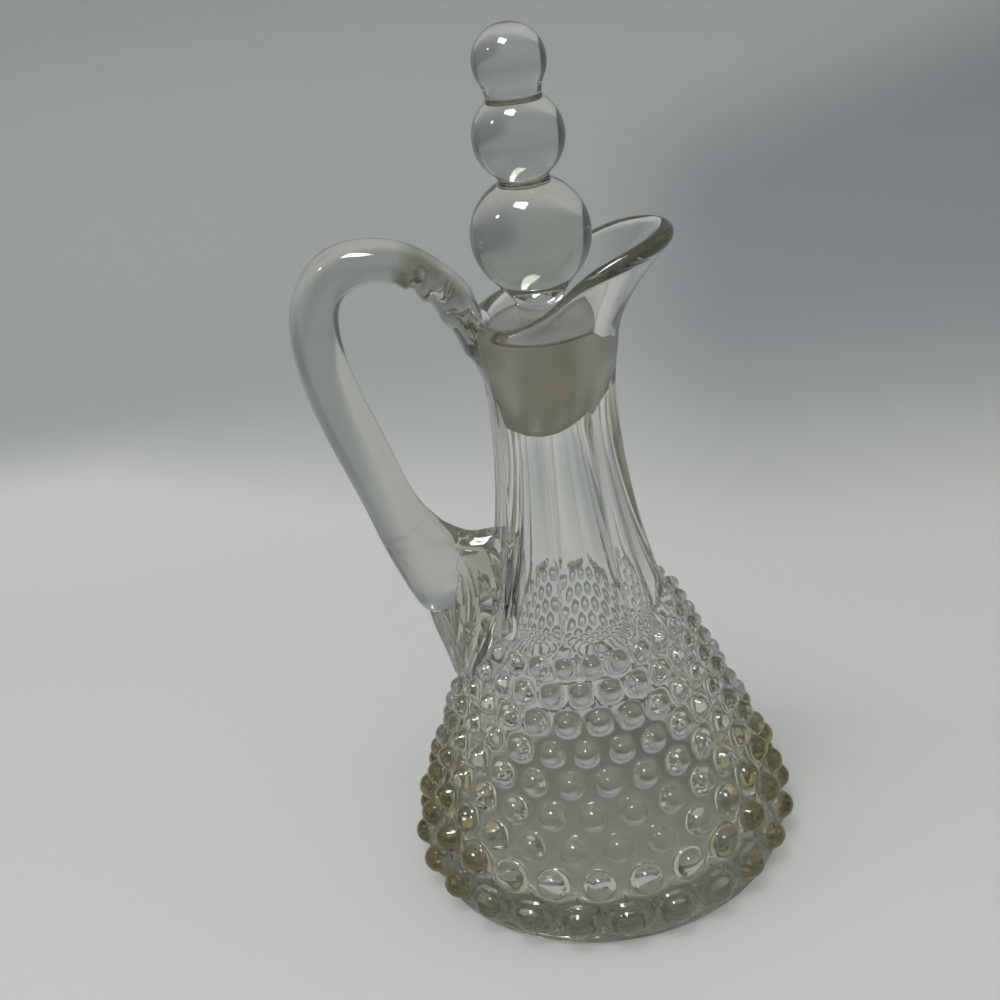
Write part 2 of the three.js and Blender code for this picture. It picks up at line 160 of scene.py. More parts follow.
# a smooth line through stations: the natural cubic spline on the distances between them
def splineThrough(stations, count):
    stations = np.array(stations, float)
    chord = np.linalg.norm(np.diff(stations, axis=0), axis=1)
    knots = np.concatenate([[0], np.cumsum(chord)])
    n = len(knots)
    system = np.eye(n)
    target = np.zeros_like(stations)
    inner = np.arange(1, n - 1)
    system[inner, inner - 1] = chord[:-1]
    system[inner, inner] = 2 * (chord[:-1] + chord[1:])
    system[inner, inner + 1] = chord[1:]
    slope = np.diff(stations, axis=0) / chord[:, None]
    target[1:-1] = 6 * np.diff(slope, axis=0)
    bendAt = np.linalg.solve(system, target)
    at = np.linspace(0, knots[-1], count)
    i = np.clip(np.searchsorted(knots, at, side="right") - 1, 0, n - 2)
    a = ((knots[i + 1] - at) / chord[i])[:, None]
    b = 1 - a
    h = chord[i][:, None] ** 2 / 6
    return (a * stations[i] + b * stations[i + 1]
            + ((a ** 3 - a) * bendAt[i] + (b ** 3 - b) * bendAt[i + 1]) * h)


# the bottle, with all sizes in millimetres
bottle = {
    "foot": 40.6, "footEdge": 0.9,
    "coneFoot": (38.2, 15.9), "shoulder": (20.8, 62.5),
    "neck": (13.7, 111.0), "mouth": (15.0, 124.0),
    "floor": 6.0, "floorCorner": 5.0, "floorDome": 0.8,
    "bodyWall": 4.0, "mouthWall": 4.6, "boreTaper": 0.13, "boreFoot": 107.0, "neckLean": 0.8,
    "neckRings": 46, "footRings": 8, "edgeRings": 5, "bandShares": (0.4, 0.7, 1.0),
}
# the number of points on each stretch of the outside's and the inside's outline
outsideSteps = {"heel": 24, "neck": 60, "flare": 24}
insideSteps = {"bore": 9, "neck": 22, "side": 12, "corner": 8, "floor": 10}
# the neck's panels; phase turns their ridges, in shares of a panel
panels = {
    "count": 8, "foot": 61.0, "arch": 4.0, "hollow": 0.3, "fade": 9.0, "ridge": 0.12,
    "phase": 0.25,
}
lip = {
    "back": 6.4, "spout": 13.6, "reach": 12.4, "narrowing": 10, "sweep": 2, "curl": 1.7,
    "rim": 3.8, "rings": 9, "rimRings": 12,
}
hobs = {
    "perRow": 24, "rows": 9, "first": 7.3, "firstDrop": 1.0, "last": 59.4, "ratio": 0.955,
    "fill": 0.33, "across": 8, "up": 4, "rise": 1.11, "domeTurn": 68, "domeRings": 6,
    "flare": 1.42, "flareRings": 5, "border": 0.12, "arcSteps": 60, "runSteps": 20,
    "beadAcross": 4.9, "beadUp": 3.9, "beadWide": 0.24, "bead": 0.9,
}
columns = hobs["perRow"] * hobs["across"]
halfStep = tau / (2 * hobs["perRow"])
panelAngle = tau / panels["count"]
coneSlope = (bottle["coneFoot"][0] - bottle["shoulder"][0]) / (
    bottle["shoulder"][1] - bottle["coneFoot"][1])
coneCosine = math.cos(math.atan(coneSlope))
neckSlope = bottle["neckLean"] * coneSlope


# the outside's outline: a rounded heel, a straight cone, a concave neck and a slight flare
def outsideOutline():
    foot = (bottle["foot"], 0)
    heel = (bottle["foot"], bottle["coneFoot"][1]
            - (bottle["foot"] - bottle["coneFoot"][0]) / coneSlope)
    waist = (bottle["neck"][0], bottle["shoulder"][1]
             + (bottle["shoulder"][0] - bottle["neck"][0]) / neckSlope)
    flare = (bottle["neck"][0], (bottle["neck"][1] + bottle["mouth"][1]) / 2)
    return np.concatenate([
        [foot],
        bend(foot, heel, bottle["coneFoot"], outsideSteps["heel"]),
        [bottle["shoulder"]],
        bend(bottle["shoulder"], waist, bottle["neck"], outsideSteps["neck"]),
        bend(bottle["neck"], flare, bottle["mouth"], outsideSteps["flare"]),
    ])


outline = outsideOutline()


# the outside's radius at a height, read off the outline by straight lines between its points
def outsideRadius(height):
    return np.interp(height, outline[:, 1], outline[:, 0])


# the panels' share: none under their arched feet, all along the neck, none at the mouth
def panelShare(fromCentre, height):
    arch = 1 - np.sqrt(np.clip(1 - (2 * fromCentre / panelAngle) ** 2, 0, 1))
    foot = panels["foot"] + panels["arch"] * arch
    start = smoothstep(height, foot, foot + panels["arch"])
    end = smoothstep(height, bottle["mouth"][1] - panels["fade"], bottle["mouth"][1])
    return start * (1 - end)


# the glass's outside radius: round, or flat and slightly hollow between two softened ridges
def glassRadius(angle, height):
    radius = outsideRadius(height)
    turn = angle / panelAngle + panels["phase"]
    fromCentre = (turn - np.floor(turn) - 0.5) * panelAngle
    flat = radius * math.cos(panelAngle / 2) / np.cos(fromCentre)
    flat = flat - panels["hollow"] * (1 - (2 * fromCentre / panelAngle) ** 2)
    flat = softLeast(flat, radius, panels["ridge"])
    return radius + (flat - radius) * panelShare(fromCentre, height)


# the height at a number of rows up the hobnail field: steps that shrink by a constant ratio, with
# the lowest row let down a little
def fieldHeight(rows):
    ratio = hobs["ratio"]
    whole = (1 - ratio ** (hobs["rows"] - 1)) / (1 - ratio)
    climbed = (1 - ratio ** (rows - 0.5)) / (1 - ratio)
    drop = hobs["firstDrop"] * (1 - smoothstep(rows, 0.5, 1.5))
    return hobs["first"] + (hobs["last"] - hobs["first"]) * climbed / whole - drop


# a place on the field, lifted square to the glass, whose slope is the outside's over 2 mm; across
# counts half steps and up counts rows
def fieldPlace(across, up, lift):
    angle = (across + 0.5) * halfStep
    height = fieldHeight(up)
    slope = np.arctan2(outsideRadius(height - 1) - outsideRadius(height + 1), 2)
    radius = glassRadius(angle, height) + lift * np.cos(slope)
    return np.stack([radius * np.cos(angle), radius * np.sin(angle),
                     height + lift * np.sin(slope)], axis=-1)


# the half width of the handle's web and tail: the root of the height over the tail's tip
def tailHalfWidth(height):
    share = (height - handle["tail"]) / (bottle["shoulder"][1] - handle["tail"])
    return handle["webWide"] * np.sqrt(np.clip(share, 0, 1))


# a hobnail's height at a distance from its middle, both in dome radii: the arc of a ball, then a
# curve that runs out level into the flare round its foot
def hobHeight(distance):
    turn = np.radians(np.linspace(0, hobs["domeTurn"], hobs["arcSteps"]))
    arc = np.stack([np.sin(turn), np.cos(turn)], axis=1)
    corner = (arc[-1, 0] + arc[-1, 1] / math.tan(turn[-1]), 0)
    run = bend(arc[-1], corner, (hobs["flare"], 0), hobs["runSteps"])
    section = np.concatenate([arc, run])
    return np.interp(distance, section[:, 0], section[:, 1])


# a hobnail's dome radius: a share of the distance along its row to the next one
def hobSize(row):
    return hobs["fill"] * 2 * halfStep * outsideRadius(fieldHeight(row + 0.5))


# whether the handle's web or tail covers a hobnail
def isCovered(column, row):
    height = fieldHeight(row + 0.5)
    angle = (column + 0.5) * halfStep
    sideways = np.abs(outsideRadius(height) * np.sin(angle))
    reach = tailHalfWidth(height) + hobSize(row) / 2
    return (np.cos(angle) < 0) & (height > handle["tail"]) & (sideways < reach)


# the lift of a point of the field: the heights of the seven hobnails nearest to its own cell,
# added up, so that their flares run into each other, with an oval bead (1 - ((d - 1) / wide)^2)^2
# round each hobnail of the lowest row, all faded to nothing at the field's borders
def fieldLift(x, y, column, row):
    total = np.zeros_like(x)
    for aside, above in ((0, 0), (2, 0), (-2, 0), (1, 1), (-1, 1), (1, -1), (-1, -1)):
        hobColumn, hobRow = column + aside, row + above
        height = fieldHeight(y)
        along = (x - hobColumn) * halfStep * outsideRadius(height)
        upward = (height - fieldHeight(hobRow + 0.5)) / coneCosine
        size = hobSize(hobRow)
        there = (hobRow >= 0) & (hobRow < hobs["rows"]) & ~isCovered(hobColumn, hobRow)
        total += np.where(there, hobs["rise"] * size * hobHeight(np.hypot(along, upward) / size), 0)
        oval = np.hypot(along / hobs["beadAcross"], upward / hobs["beadUp"])
        bead = np.clip(1 - ((oval - 1) / hobs["beadWide"]) ** 2, 0, 1) ** 2
        total += np.where(hobRow == 0, hobs["bead"] * bead, 0)
    border = np.minimum(y, hobs["rows"] - y)
    return total * smoothstep(border, 0, hobs["border"])


# the field: one cell for each hobnail, as rings of corners from the tip out to the cell's edge,
# where the rings pass from a circle to the cell's oblong
def hobField():
    across, up = hobs["across"], hobs["up"]
    side = np.linspace(-1, 1, across + 1)[:-1]
    rise = np.linspace(-0.5, 0.5, up + 1)[:-1]
    edge = np.concatenate([
        np.stack([side, np.full(across, -0.5)], axis=1),
        np.stack([np.full(up, 1.0), rise], axis=1),
        np.stack([-side, np.full(across, 0.5)], axis=1),
        np.stack([np.full(up, -1.0), -rise], axis=1),
    ])
    sectors = len(edge)
    row, place = np.meshgrid(np.arange(hobs["rows"]), np.arange(hobs["perRow"]), indexing="ij")
    row, place = row.reshape(-1, 1, 1), place.reshape(-1, 1, 1)
    column = 2 * place + row % 2
    radius = outsideRadius(fieldHeight(row + 0.5))
    stepUp = (fieldHeight(row + 1) - fieldHeight(row)) / coneCosine
    wide, tall = hobSize(row) / (halfStep * radius), hobSize(row) / stepUp
    start = math.atan2(-stepUp.mean() / 2, -(halfStep * radius).mean())
    turn = start + np.arange(sectors) * tau / sectors
    dome = np.sin(np.radians(np.linspace(0, hobs["domeTurn"], hobs["domeRings"] + 1)))[1:]
    ring = dome[None, :, None]
    circleX, circleY = wide * ring * np.cos(turn), tall * ring * np.sin(turn)
    share = np.linspace(0, 1, hobs["flareRings"] + 1)[1:][None, :, None]
    runX = circleX[:, -1:] * (1 - share) + edge[None, None, :, 0] * share
    runY = circleY[:, -1:] * (1 - share) + edge[None, None, :, 1] * share
    x = column + np.concatenate([circleX, runX], axis=1)
    y = row + 0.5 + np.concatenate([circleY, runY], axis=1)
    tipX, tipY = column.astype(float), row + 0.5
    tip = fieldPlace(tipX, tipY, fieldLift(tipX, tipY, column, row))
    body = fieldPlace(x, y, fieldLift(x, y, column, row))
    cells, rounds = body.shape[:2]
    points = np.concatenate([tip.reshape(cells, 1, 3), body.reshape(cells, -1, 3)], axis=1)
    around = np.arange(sectors)
    beside = (around + 1) % sectors
    middle = np.zeros(sectors, int)
    fan = np.stack([middle, middle, 1 + around, 1 + beside], axis=1)
    cellFaces = np.concatenate([fan, 1 + ringFaces(rounds, sectors)[:, ::-1]])
    starts = np.arange(cells) * points.shape[1]
    return points.reshape(-1, 3), (starts[:, None, None] + cellFaces[None]).reshape(-1, 4)


columnAngles = halfStep / 2 + np.arange(columns) * tau / columns


# rings of points (radius, height) at every column
def ringGrid(radii, heights):
    radii, heights = np.broadcast_arrays(radii, heights)
    points = np.stack([radii * np.cos(columnAngles), radii * np.sin(columnAngles), heights], -1)
    return points.reshape(-1, 3), ringFaces(len(radii), columns)


# rings in the lip at every column: along is 0 at the mouth and 1 at the rim, over is the distance
# past the rim, and depth is measured into the glass, square to the lip's outside
def lipPlace(along, over, depth):
    towardsSpout = (1 + np.cos(columnAngles)) / 2
    out = lip["reach"] * towardsSpout ** lip["narrowing"]
    rise = lip["back"] + lip["spout"] * towardsSpout ** lip["sweep"]
    lean = np.stack([lip["curl"] * out * along ** (lip["curl"] - 1), rise])
    lean = lean / np.linalg.norm(lean, axis=0)
    radius = bottle["mouth"][0] + out * along ** lip["curl"] + over * lean[0] - depth * lean[1]
    return radius, bottle["mouth"][1] + rise * along + over * lean[1] + depth * lean[0]


# the lip: up its outside, round the rim on a half circle, and down its inside
def lipGrid():
    edge = lip["rim"] / 2
    alongs = np.linspace(0, 1, lip["rings"] + 1)
    turns = np.linspace(0, math.pi, lip["rimRings"] + 1)
    places = [(a, 0, 0) for a in alongs[1:-1]]
    places += [(1, edge * math.sin(t), edge * (1 - math.cos(t))) for t in turns]
    thick = bottle["mouthWall"] + (lip["rim"] - bottle["mouthWall"]) * alongs
    places += [(a, 0, d) for a, d in zip(alongs[-2:0:-1], thick[-2:0:-1])]
    rings = [lipPlace(*place) for place in places]
    return np.array([r for r, z in rings]), np.array([z for r, z in rings])


# the bore's radius at a height: an even taper from the mouth down
def boreRadius(height):
    top = bottle["mouth"][0] - bottle["mouthWall"]
    return top + bottle["boreTaper"] * (height - bottle["mouth"][1])


# the inside's outline from the mouth down the bore and the hollow to the floor's centre
def insideOutline():
    floor, corner = bottle["floor"], bottle["floorCorner"]
    cone = (bottle["coneFoot"][0] - bottle["bodyWall"], bottle["coneFoot"][1])
    shoulder = (bottle["shoulder"][0] - bottle["bodyWall"], bottle["shoulder"][1])
    bore = (boreRadius(bottle["boreFoot"]), bottle["boreFoot"])
    mouth = (boreRadius(bottle["mouth"][1]), bottle["mouth"][1])
    waist = (bore[0], shoulder[1] + (shoulder[0] - bore[0]) / neckSlope)
    wall = (cone[0], floor + corner)
    shrink = np.linspace(1, 0, insideSteps["floor"])[1:, None]
    return np.concatenate([
        np.linspace(mouth, bore, insideSteps["bore"]),
        bend(bore, waist, shoulder, insideSteps["neck"]),
        np.linspace(shoulder, cone, insideSteps["side"])[1:],
        [wall],
        bend(wall, (cone[0], floor), (cone[0] - corner, floor), insideSteps["corner"]),
        np.hstack([(cone[0] - corner) * shrink, floor + bottle["floorDome"] * (1 - shrink ** 2)]),
    ])


# the foot: a disc under the bottle, its softly rounded edge, and the band under the first row
def footGrid():
    edge = bottle["footEdge"]
    radii = list(np.linspace(0, 1, bottle["footRings"]) * (bottle["foot"] - edge))
    heights = [0.0] * len(radii)
    for turn in np.linspace(0, math.pi / 2, bottle["edgeRings"])[1:]:
        radii.append(bottle["foot"] - edge + edge * math.sin(turn))
        heights.append(edge * (1 - math.cos(turn)))
    top = fieldHeight(0)
    for share in bottle["bandShares"]:
        heights.append(edge + (top - edge) * share)
        radii.append(float(outsideRadius(heights[-1])))
    return np.array(radii)[:, None], np.array(heights)[:, None]


# the bottle's skin, from the foot up the outside, over the lip and down the inside
def bottleSkin():
    top = fieldHeight(hobs["rows"])
    neckHeights = np.linspace(top, bottle["mouth"][1], bottle["neckRings"])[:, None]
    neckRadii = glassRadius(columnAngles[None, :], neckHeights)
    lipRadii, lipHeights = lipGrid()
    inside = insideOutline()
    radii = np.concatenate([neckRadii, lipRadii,
                            np.repeat(inside[:, :1], columns, axis=1)])
    heights = np.concatenate([np.repeat(neckHeights, columns, axis=1), lipHeights,
                              np.repeat(inside[:, 1:], columns, axis=1)])
    foot = footGrid()
    parts = [ringGrid(np.repeat(foot[0], columns, axis=1), np.repeat(foot[1], columns, axis=1)),
             hobField(), ringGrid(radii, heights)]
    points, faces = joined(parts)
    return points * mm, faces


handle = {
    "webWide": 7.2, "tail": 45.5, "sides": 48, "steps": 120, "keel": 0.4, "ribs": 6,
    "ribDepth": 0.1, "crimp": 0.8, "crimpStep": 3.4, "crimpFrom": (13.0, 16.0),
    "crimpTo": (25.0, 29.0), "crimpOver": 120.0, "sharp": 50,
}
# the handle's bar, from the mouth's glass over the crown to its rounded end on the web, and the
# web, from inside the bar to the tail: each section is its outer edge's reach and height, its
# inner edge's reach and height, and its half width
barSections = [
    (11.5, 130.0, 9.5, 111.0, 6.6), (12.8, 136.2, 13.2, 119.4, 7.0),
    (14.4, 139.8, 17.0, 127.6, 6.7), (18.6, 144.6, 20.4, 134.5, 5.9),
    (24.8, 149.2, 25.3, 140.3, 5.3), (32.8, 151.3, 31.7, 142.5, 5.0),
    (41.4, 149.9, 37.4, 141.1, 5.0), (48.3, 142.7, 40.2, 136.8, 5.0),
    (50.85, 129.5, 40.5, 128.0, 5.0), (48.8, 114.9, 38.2, 117.0, 5.0),
    (44.4, 99.5, 34.0, 102.5, 5.0), (41.3, 88.5, 29.6, 90.2, 5.0),
    (39.5, 81.5, 24.9, 84.1, 5.1), (38.0, 77.0, 23.0, 80.4, 5.2),
    (36.5, 72.7, 22.9, 76.2, 5.2), (35.0, 69.0, 23.7, 71.6, 5.0),
    (34.0, 67.0, 25.2, 68.2, 4.2), (32.8, 65.6, 27.4, 66.2, 2.8),
    (31.2, 64.9, 29.6, 65.1, 1.0),
]
webSections = [
    (35.0, 80.0, 27.0, 87.0, 1.3), (34.5, 77.0, 23.6, 84.4, 2.4),
    (33.8, 74.0, 19.4, 82.7, 3.4), (33.4, 71.0, 14.5, 82.6, 4.2),
    (32.8, 66.8, 12.0, 77.5, 5.0), (31.8, 60.0, 13.0, 67.0, 6.4),
    (29.9, 51.5, 21.0, 55.0, 5.8), (28.9, 47.0, 24.0, 50.0, 3.9),
    (27.7, 45.2, 25.8, 46.8, 1.2),
]


# a limb's skin: at each step along the sections' spline a closed ring; its half width at a share u
# of the way in from the outer edge is sqrt(u(1-u)) u^keel, scaled to reach the section's half width
# at its widest, times 1 + ribDepth cos(2 pi ribs u), so that a keel above 0 draws the outer edge to
# a ridge, and 0 ribs give an even swell; the inner edge's height is crimped by crimp sin(2 pi reach
# / crimpStep) where the limb is pressed on to the mouth
def limbSkin(sections, keel, ribs):
    outerX, outerZ, innerX, innerZ, side = splineThrough(sections, handle["steps"]).T[:, :, None]
    pressed = smoothstep(innerX, *handle["crimpFrom"]) * (1 - smoothstep(innerX, *handle["crimpTo"]))
    pressed = pressed * (innerZ > handle["crimpOver"])
    innerZ = innerZ + handle["crimp"] * pressed * np.sin(tau * innerX / handle["crimpStep"])
    turn = np.arange(handle["sides"]) * tau / handle["sides"]
    share = (1 - np.cos(turn))[None] / 2
    across = np.sin(turn)[None] * share ** keel
    across = across / across.max() * (1 + handle["ribDepth"] * np.cos(ribs * tau * share))
    rings = np.stack([-(outerX + (innerX - outerX) * share), side * across,
                      outerZ + (innerZ - outerZ) * share], axis=-1)
    ends = np.repeat(rings[[0, -1]].mean(axis=1, keepdims=True), handle["sides"], axis=1)
    rings = np.concatenate([ends[:1], rings, ends[1:]])
    return rings.reshape(-1, 3) * mm, ringFaces(len(rings), handle["sides"])


# turns every face of a closed piece to point outwards
def faceOutwards(piece):
    points = np.zeros(len(piece.data.vertices) * 3, np.float32)
    piece.data.vertices.foreach_get("co", points)
    points = points.reshape(-1, 3).astype(float)
    piece.data.calc_loop_triangles()
    corners = np.zeros(len(piece.data.loop_triangles) * 3, np.int32)
    piece.data.loop_triangles.foreach_get("vertices", corners)
    a, b, c = (points[corners.reshape(-1, 3)[:, i]] for i in range(3))
    if np.einsum("ij,ij->i", a, np.cross(b, c)).sum() < 0:
        piece.data.flip_normals()


# the whole glass body: the bottle's skin with the handle's bar and web fused to it, and the sleeve's
# way kept clear; its edges are sharp where two faces meet at more than an angle
def makeGlassBody():
    body = makePiece("cruet_glass", *bottleSkin())
    bar = makePiece("handle_bar", *limbSkin(barSections, 0, 0))
    web = makePiece("handle_web", *limbSkin(webSections, handle["keel"], handle["ribs"]))
    plug = makePiece("way_plug", *waySkin())
    for piece in (body, bar, web, plug):
        faceOutwards(piece)
    fuse(bar, plug, "DIFFERENCE")
    fuse(body, web, "UNION")
    fuse(body, bar, "UNION")
    for spare in (bar, web, plug):
        bpy.data.objects.remove(spare)
    body.data.polygons.foreach_set("use_smooth", np.full(len(body.data.polygons), True))
    body.data.set_sharp_from_angle(angle=math.radians(handle["sharp"]))
    return body


way = {"radius": 11.3, "low": 60.0, "high": 210.0}


# the room that the sleeve and the stopper lift through, as a plain round plug
def waySkin():
    radius, low, high = way["radius"], way["low"], way["high"]
    profile = np.array([(0, low), (radius, low), (radius, high), (0, high)])
    points, faces = ringGrid(np.repeat(profile[:, :1], columns, axis=1),
                             np.repeat(profile[:, 1:], columns, axis=1))
    return points * mm, faces


# joins or cuts one closed piece by another
def fuse(piece, other, how):
    cut = piece.modifiers.new("fuse", "BOOLEAN")
    cut.operation = how
    cut.solver = "MANIFOLD"
    cut.object = other
    bpy.context.view_layer.update()
    shape = piece.evaluated_get(bpy.context.evaluated_depsgraph_get())
    made = bpy.data.meshes.new_from_object(shape)
    piece.modifiers.clear()
    piece.data = made


# the stopper: its balls from the top down, the waists between them by their radii above and below
# and their lengths, the flare under the lowest ball, and the peg
stopper = {
    "balls": (7.2, 9.1, 12.05), "waistTops": (6.2, 5.2), "waistFeet": (5.5, 5.2),
    "waists": (3.69, 1.66), "pinch": 0.15, "flare": 8.5, "flareLength": 6.06, "flareTurn": 0.2,
    "pegTop": (4.5, 133.6), "pegFoot": (3.6, 106.8), "rounding": 1.2, "sides": 96, "arcSteps": 30,
    "waistSteps": 6, "flareSteps": 14, "pegSteps": 12, "roundSteps": 6, "endSteps": 4,
}


# a profile of (radius, height) turned about the axis
def turnedSkin(profile, sides):
    turn = np.arange(sides) * tau / sides
    radii, heights = np.array(profile, float).T
    points = np.stack([radii[:, None] * np.cos(turn), radii[:, None] * np.sin(turn),
                       np.repeat(heights[:, None], sides, axis=1)], axis=-1)
    return points.reshape(-1, 3) * mm, ringFaces(len(radii), sides)


# the balls' middles from the top down, worked upward from the peg's top: each is the sum of the
# flare's or the waist's length and the chords' distances sqrt(r^2 - c^2)
def ballPlaces():
    radii, tops, feet = stopper["balls"], stopper["waistTops"], stopper["waistFeet"]
    height = stopper["pegTop"][1] + stopper["flareLength"]
    height += math.sqrt(radii[-1] ** 2 - stopper["flare"] ** 2)
    heights = [height]
    for i in reversed(range(len(radii) - 1)):
        height += math.sqrt(radii[i + 1] ** 2 - feet[i] ** 2) + stopper["waists"][i]
        height += math.sqrt(radii[i] ** 2 - tops[i] ** 2)
        heights.insert(0, height)
    return heights


# the peg's radius at a height, an even taper from the flare to its foot
def pegRadius(height):
    (top, topHeight), (foot, footHeight) = stopper["pegTop"], stopper["pegFoot"]
    return foot + (top - foot) * (height - footHeight) / (topHeight - footHeight)


# the stopper's outline: arcs of the three balls, pinched waists, the flare and the tapered peg
def stopperOutline():
    lower = stopper["waistTops"] + (stopper["flare"],)
    upper = (0.0,) + stopper["waistFeet"]
    middles = ballPlaces()
    parts = []
    for i, (radius, height) in enumerate(zip(stopper["balls"], middles)):
        start, end = math.asin(upper[i] / radius), math.pi - math.asin(lower[i] / radius)
        turn = np.linspace(start, end, stopper["arcSteps"])
        parts.append(np.stack([radius * np.sin(turn), height + radius * np.cos(turn)], axis=1))
        if i < len(middles) - 1:
            foot = stopper["waistFeet"][i]
            below = stopper["balls"][i + 1]
            join = (foot, middles[i + 1] + math.sqrt(below ** 2 - foot ** 2))
            corner = (foot - stopper["pinch"], join[1] + stopper["waists"][i] / 2)
            parts.append(bend(parts[-1][-1], corner, join, stopper["waistSteps"])[:-1])
    pegTop, topHeight = stopper["pegTop"]
    corner = (pegTop, topHeight + stopper["flareTurn"] * stopper["flareLength"])
    parts.append(bend(parts[-1][-1], corner, stopper["pegTop"], stopper["flareSteps"]))
    footHeight, rounding = stopper["pegFoot"][1], stopper["rounding"]
    side = np.linspace(topHeight, footHeight + rounding, stopper["pegSteps"])[1:]
    parts.append(np.stack([pegRadius(side), side], axis=1))
    edge = pegRadius(footHeight + rounding) - rounding
    turn = np.linspace(0, math.pi / 2, stopper["roundSteps"])[1:]
    parts.append(np.stack([edge + rounding * np.cos(turn),
                           footHeight + rounding * (1 - np.sin(turn))], axis=1))
    shrink = np.linspace(1, 0, stopper["endSteps"])[1:]
    parts.append(np.stack([edge * shrink, np.full(len(shrink), footHeight)], axis=1))
    return np.concatenate(parts)


# the stopper, turned from its outline
def makeStopper():
    piece = makePiece("stopper_glass", *turnedSkin(stopperOutline(), stopper["sides"]))
    faceOutwards(piece)
    return piece


sleeve = {
    "top": 130.0, "foot": 108.0, "press": 0.05, "pegGap": 0.12, "edge": 0.6, "cut": 0.18,
    "rings": 24, "sides": 96, "worn": 5.0, "wornAround": 3, "wornDown": 2,
}


# the sleeve's outside radius at a height, a little more than the bore's
def sleeveOuter(height):
    return boreRadius(height) + sleeve["press"]


# its inside radius, a little more than the peg's
def sleeveInner(height):
    return pegRadius(height) + sleeve["pegGap"]


# the sleeve's outline: up its outside, pressed against the bore, over its top and down by the peg
def sleeveOutline():
    edge, cut = sleeve["edge"], sleeve["cut"]
    low, high = sleeve["foot"], sleeve["top"]
    points = [(sleeveOuter(low) - edge, low), (sleeveOuter(low) - cut, low + cut)]
    points += [(sleeveOuter(h), h) for h in np.linspace(low + edge, high - edge, sleeve["rings"])]
    points += [(sleeveOuter(high) - cut, high - cut), (sleeveOuter(high) - edge, high)]
    points += [(sleeveInner(high) + edge, high), (sleeveInner(high - edge), high - edge)]
    points += [(sleeveInner(h), h) for h in np.linspace(high - edge, low, sleeve["rings"])[1:]]
    return points + points[:1]


# the sleeve, its foot worn away on the spout's side by worn ((1 + cos a) / 2)^wornAround
# d^wornDown, where a is the angle from the spout and d the share of the way down; what rises widens
# with the bore
def makeSleeve():
    skin, faces = turnedSkin(sleeveOutline(), sleeve["sides"])
    reach = np.hypot(skin[:, 0], skin[:, 1])
    towardsSpout = (1 + skin[:, 0] / reach) / 2
    low, high = sleeve["foot"] * mm, sleeve["top"] * mm
    down = (high - skin[:, 2]) / (high - low)
    around = towardsSpout ** sleeve["wornAround"]
    raised = sleeve["worn"] * mm * around * down ** sleeve["wornDown"]
    skin[:, 2] += raised
    skin[:, :2] *= (1 + bottle["boreTaper"] * raised / reach)[:, None]
    piece = makePiece("sleeve_plastic", skin, faces)
    faceOutwards(piece)
    return piece


# a material with a Principled shader on its surface
def newMaterial(name):
    material = bpy.data.materials.new(name)
    material.use_nodes = True
    nodes = material.node_tree.nodes
    nodes.clear()
    output = nodes.new("ShaderNodeOutputMaterial")
    shader = nodes.new("ShaderNodeBsdfPrincipled")
    material.node_tree.links.new(shader.outputs[0], output.inputs["Surface"])
    return material, shader, output


# sets a socket to a number or a colour, or links another socket to it
def feed(tree, socket, value):
    if isinstance(value, bpy.types.NodeSocket):
        tree.links.new(value, socket)
    else:
        socket.default_value = value


# the x, y and z of the shaded place, in the object's own metres unless told otherwise
def addAxes(tree, kind="Object"):
    coords, split = tree.nodes.new("ShaderNodeTexCoord"), tree.nodes.new("ShaderNodeSeparateXYZ")
    tree.links.new(coords.outputs[kind], split.inputs[0])
    return split.outputs


# the node for one operation on a value or on two
def addMath(tree, operation, *values):
    node = tree.nodes.new("ShaderNodeMath")
    node.operation = operation
    for socket, value in zip(node.inputs, values):
        feed(tree, socket, value)
    return node.outputs[0]


# the nodes for the product of all the values
def addProduct(tree, first, *others):
    for other in others:
        first = addMath(tree, "MULTIPLY", first, other)
    return first


# the nodes for the distance sqrt(a^2 + b^2)
def addDistance(tree, a, b):
    square = addMath(tree, "ADD", addProduct(tree, a, a), addProduct(tree, b, b))
    return addMath(tree, "SQRT", square)


# the node for first + (second - first) t, where t = (x - low) / (high - low), held between 0 and 1
def addSpan(tree, source, low, high, first=0.0, second=1.0, kind="LINEAR"):
    span = tree.nodes.new("ShaderNodeMapRange")
    span.interpolation_type = kind
    for socket, value in zip(span.inputs, (source, low, high, first, second)):
        feed(tree, socket, value)
    return span.outputs["Result"]


# the node for a smooth rise from 0 at low to 1 at high: t^2 (3 - 2t) with the same t
def addRamp(tree, source, low, high):
    return addSpan(tree, source, low, high, kind="SMOOTHSTEP")


# the nodes for a smooth fall from 1 at low to 0 at high: 1 less the rise
def addFall(tree, source, low, high):
    return addMath(tree, "SUBTRACT", 1.0, addRamp(tree, source, low, high))


# the node for the colour (1 - factor) first + factor second
def addMix(tree, factor, first, second):
    mix = tree.nodes.new("ShaderNodeMix")
    mix.data_type = "RGBA"
    for name, value in (("Factor", factor), ("A", first), ("B", second)):
        feed(tree, mix.inputs[name], value)
    return mix.outputs["Result"]


# the surface (1 - factor) shader + factor clear, where clear lets rays through and colours them
def addClear(tree, factor, shader, output, colour=(1, 1, 1, 1)):
    choice, clear = tree.nodes.new("ShaderNodeMixShader"), tree.nodes.new("ShaderNodeBsdfTransparent")
    clear.inputs["Color"].default_value = colour
    for socket, value in zip(choice.inputs, (factor, shader.outputs[0], clear.outputs[0])):
        tree.links.new(value, socket)
    tree.links.new(choice.outputs[0], output.inputs["Surface"])


# the detail of the two noises in the cast waves
waveDetail = {"Swell": 1.0, "Grain": 2.0}


